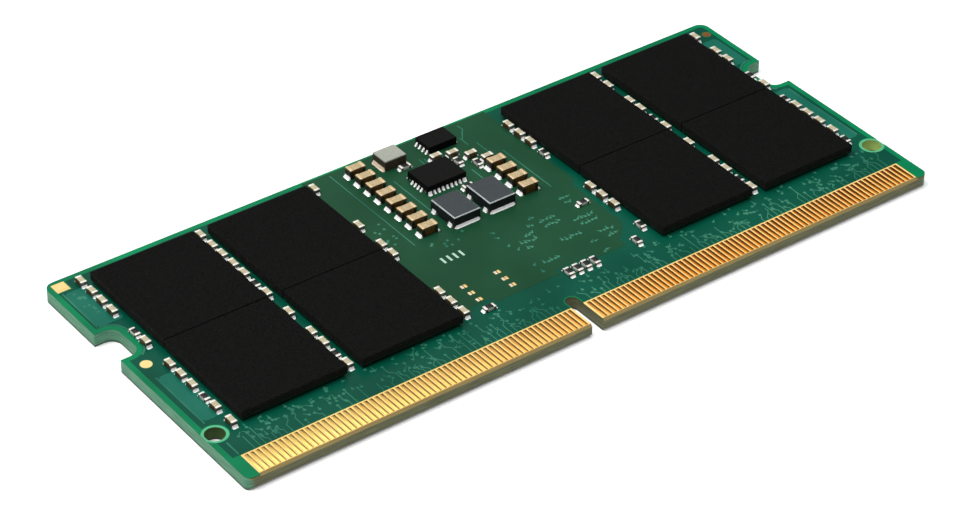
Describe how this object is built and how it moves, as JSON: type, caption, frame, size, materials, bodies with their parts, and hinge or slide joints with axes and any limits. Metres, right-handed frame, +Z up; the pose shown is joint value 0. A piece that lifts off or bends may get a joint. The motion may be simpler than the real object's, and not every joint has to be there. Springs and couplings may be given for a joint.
{
  "type": "memory module",
  "caption": "Small-outline memory module lying flat: green board with edge contacts, key slot, latch notches, memory chips, power parts and small capacitors.",
  "frame": {"origin": "under the middle of the board, on the flat underside it rests on", "axes": "+X along the board, +Y from the contact edge to the back edge, +Z up through the chips"},
  "size_m": [0.0696, 0.03, 0.0023],
  "materials": {
    "laminate": "bare glass-epoxy laminate, sawn edges",
    "solder_mask": "green solder mask, semi-gloss",
    "gold_plating": "gold plating over nickel and copper",
    "marking_ink": "printed ink",
    "mould_compound": "black epoxy moulding compound, fine matte grain",
    "chip_substrate": "dark package substrate",
    "silicon": "silicon die",
    "solder": "bright tin solder",
    "lead_frame": "tinned copper leads",
    "moulded_iron": "moulded iron powder, slate grey",
    "copper_wire": "enamelled copper wire",
    "end_metal": "tinned end metal",
    "ferrite": "dark ferrite",
    "plated_cover": "dull silver plating",
    "capacitor_ceramic": "tan barium titanate ceramic",
    "resistor_ceramic": "white alumina",
    "resistor_film": "black resistor overglaze"
  },
  "bodies": {
    "root": {"back_contacts": "gold_plating", "back_solder_mask": "solder_mask", "board_laminate": "laminate", "front_contacts": "gold_plating", "front_solder_mask": "solder_mask", "gold_marks": "gold_plating", "hub_chip_body": "mould_compound", "hub_chip_die": "silicon", "hub_chip_leads": "lead_frame", "hub_chip_solder": "solder", "hub_chip_thermal_pad": "lead_frame", "large_capacitor_bodies": "capacitor_ceramic", "large_capacitor_end_caps": "end_metal", "large_capacitor_solder": "solder", "memory_chip_1": "mould_compound", "memory_chip_2": "mould_compound", "memory_chip_3": "mould_compound", "memory_chip_4": "mould_compound", "memory_chip_5": "mould_compound", "memory_chip_6": "mould_compound", "memory_chip_7": "mould_compound", "memory_chip_8": "mould_compound", "memory_chip_substrates": "chip_substrate", "memory_dies": "silicon", "memory_solder_balls": "solder", "plated_inductor_core": "ferrite", "plated_inductor_cover": "plated_cover", "plated_inductor_solder": "solder", "plated_inductor_terminals": "end_metal", "power_chip_body": "mould_compound", "power_chip_die": "silicon", "power_chip_leads": "lead_frame", "power_chip_solder": "solder", "power_chip_thermal_pad": "lead_frame", "power_inductor_coils": "copper_wire", "power_inductor_left": "moulded_iron", "power_inductor_right": "moulded_iron", "power_inductor_solder": "solder", "power_inductor_terminals": "end_metal", "printed_ticks": "marking_ink", "resistor_bodies": "resistor_ceramic", "resistor_coats": "resistor_film", "resistor_end_caps": "end_metal", "resistor_solder": "solder", "small_capacitor_bodies": "capacitor_ceramic", "small_capacitor_end_caps": "end_metal", "small_capacitor_solder": "solder", "spare_pads": "gold_plating"}
  },
  "joints": []
}
